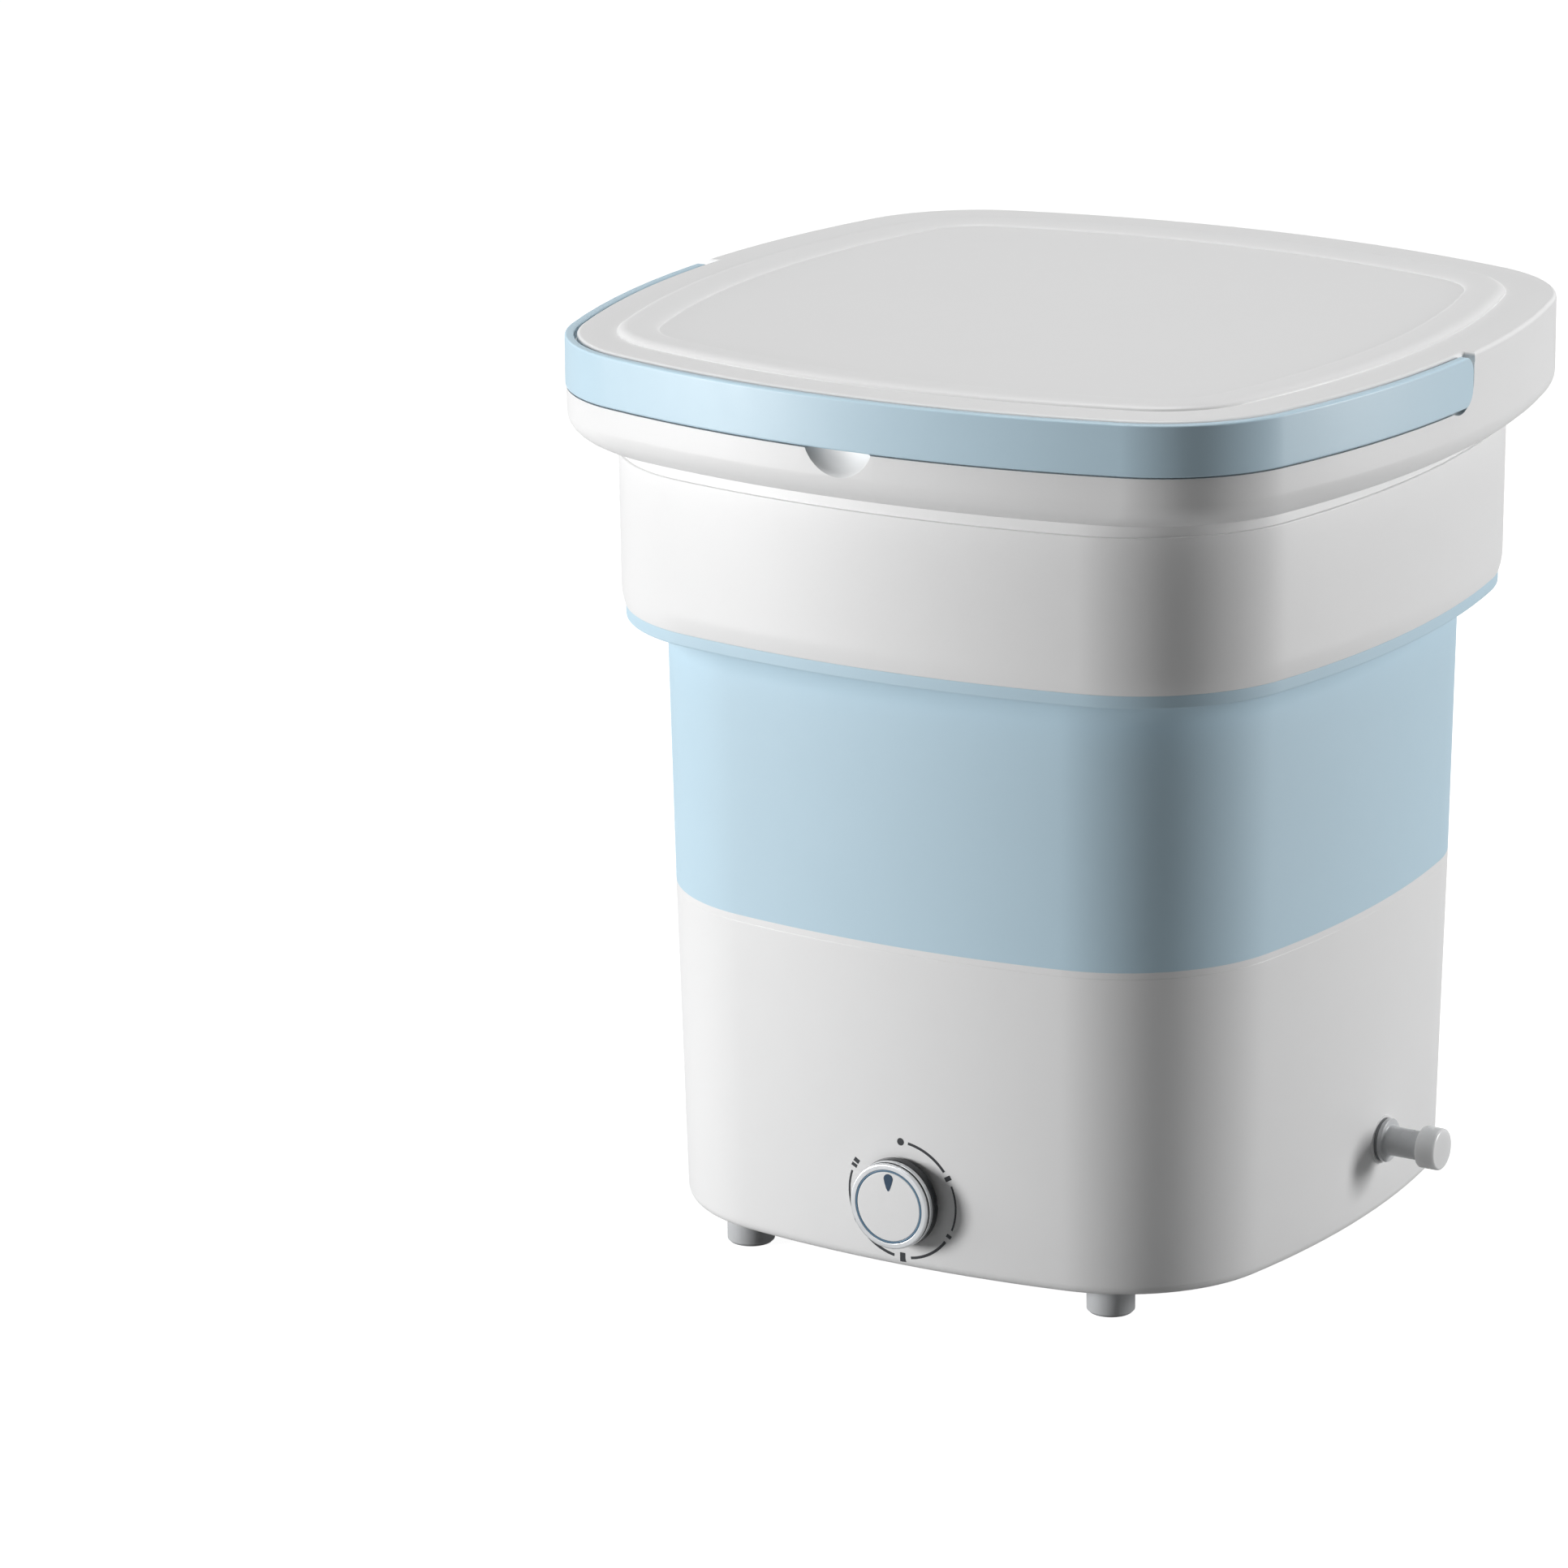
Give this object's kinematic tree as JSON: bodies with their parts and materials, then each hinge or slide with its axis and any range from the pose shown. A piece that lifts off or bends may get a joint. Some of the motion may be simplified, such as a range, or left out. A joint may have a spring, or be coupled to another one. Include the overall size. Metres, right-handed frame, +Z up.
{
  "type": "foldable mini washing machine",
  "caption": "Folding mini washing machine: base with knob and drain, soft sleeve, upper shell, wide collar with swing handle, lid, and a telescoping spin basket over a belt-driven pulsator.",
  "frame": {"origin": "on the ground under the centre of the outer box, between the four feet", "axes": "+Z up, -Y towards the knob, +X towards the drain"},
  "size_m": [0.33, 0.3295, 0.351],
  "materials": {
    "white_pp": "satin white polypropylene",
    "blue_pp": "satin pale blue polypropylene",
    "blue_tpe": "matt pale blue thermoplastic rubber",
    "grey_rubber": "matt grey rubber",
    "white_silicone": "soft white silicone",
    "grey_plastic": "satin light grey plastic",
    "knob_silver": "silver plated plastic grip",
    "knob_blue": "blue grey inlay",
    "steel": "zinc plated steel",
    "motor_can": "drawn steel can",
    "black_plastic": "black engineering plastic",
    "connector_plastic": "natural nylon",
    "belt_rubber": "black belt rubber",
    "board_green": "green solder mask",
    "lead_sheath": "dark sheath"
  },
  "bodies": {
    "base": {"base_shell": "white_pp", "tub_pan": "white_pp", "bottom_cover": "white_pp", "foot_front_left": "grey_rubber", "foot_front_right": "grey_rubber", "foot_rear_left": "grey_rubber", "foot_rear_right": "grey_rubber", "cover_screws": "steel", "motor_bracket": "steel", "bracket_screws": "steel", "motor": "motor_can", "motor_screws": "steel", "drive_belt": "belt_rubber", "lower_bearing": "steel", "upper_bearing": "steel", "shaft_seal": "grey_rubber", "rotary_switch": "black_plastic", "switch_nut": "steel", "drain_strainer": "white_pp", "drain_spout": "grey_plastic", "drain_gasket": "grey_rubber", "drain_nut": "grey_plastic", "drain_hose": "grey_rubber", "hose_clamps": "steel", "power_inlet": "black_plastic", "inlet_nut": "steel", "control_board": "board_green", "board_connectors": "connector_plastic", "board_components": "black_plastic", "board_screws": "steel", "power_lead": "lead_sheath", "motor_lead": "lead_sheath", "switch_lead": "lead_sheath", "sleeve": "blue_tpe"},
    "upper": {"upper_shell": "white_pp", "collar": "white_pp", "handle_pin_left": "steel", "handle_pin_right": "steel"},
    "handle": {"handle": "blue_pp"},
    "lid": {"lid": "white_pp", "lid_gasket": "white_silicone"},
    "knob": {"knob": "knob_silver", "knob_cap": "white_pp", "knob_ring": "knob_blue", "knob_pointer": "knob_blue", "knob_shaft": "steel"},
    "pulsator": {"pulsator": "white_pp", "pulsator_screw": "steel", "drive_shaft": "steel", "drive_pulley": "black_plastic", "pulley_nut": "steel"},
    "motor_rotor": {"motor_shaft": "steel", "motor_pulley": "black_plastic"},
    "basket_lower": {"basket_lower": "white_pp", "basket_floor": "white_pp"},
    "basket_upper": {"basket_upper": "white_pp", "basket_clip": "blue_pp"},
    "drain_cap": {"drain_cap": "grey_plastic"}
  },
  "joints": [
    {"name": "fold", "type": "slide", "parent": "base", "child": "upper", "axis": [0, 0, -1], "range_m": [0, 0.176], "deforming": ["sleeve"]},
    {"name": "lid_lift", "type": "slide", "parent": "upper", "child": "lid", "axis": [0, 0, 1], "range_m": [0, 0.45]},
    {"name": "handle_swing", "type": "hinge", "parent": "upper", "child": "handle", "pos_m": [0, 0, 0.339], "axis": [1, 0, 0], "range_deg": [-90, 0]},
    {"name": "knob_turn", "type": "hinge", "parent": "base", "child": "knob", "pos_m": [0.0034, -0.13, 0.0376], "axis": [0, 1, 0], "range_deg": [0, 300]},
    {"name": "pulsator_spin", "type": "hinge", "parent": "base", "child": "pulsator", "pos_m": [0, 0, 0.054], "axis": [0, 0, 1], "continuous": true},
    {"name": "motor_spin", "type": "hinge", "parent": "base", "child": "motor_rotor", "pos_m": [-0.068, 0, 0.024], "axis": [0, 0, 1], "continuous": true},
    {"name": "basket_lift", "type": "slide", "parent": "pulsator", "child": "basket_lower", "axis": [0, 0, 1], "range_m": [0, 0.27]},
    {"name": "basket_collapse", "type": "slide", "parent": "basket_lower", "child": "basket_upper", "axis": [0, 0, -1], "range_m": [0, 0.072]},
    {"name": "drain_cap_pull", "type": "slide", "parent": "base", "child": "drain_cap", "axis": [1, 0, 0], "range_m": [0, 0.02]}
  ],
  "couplings": [
    {"joint": "motor_spin", "follows": "pulsator_spin", "ratio": 4.3523},
    {"joint": "basket_lift", "follows": "lid_lift", "ratio": 0.6},
    {"joint": "basket_collapse", "follows": "fold", "ratio": 0.409}
  ]
}
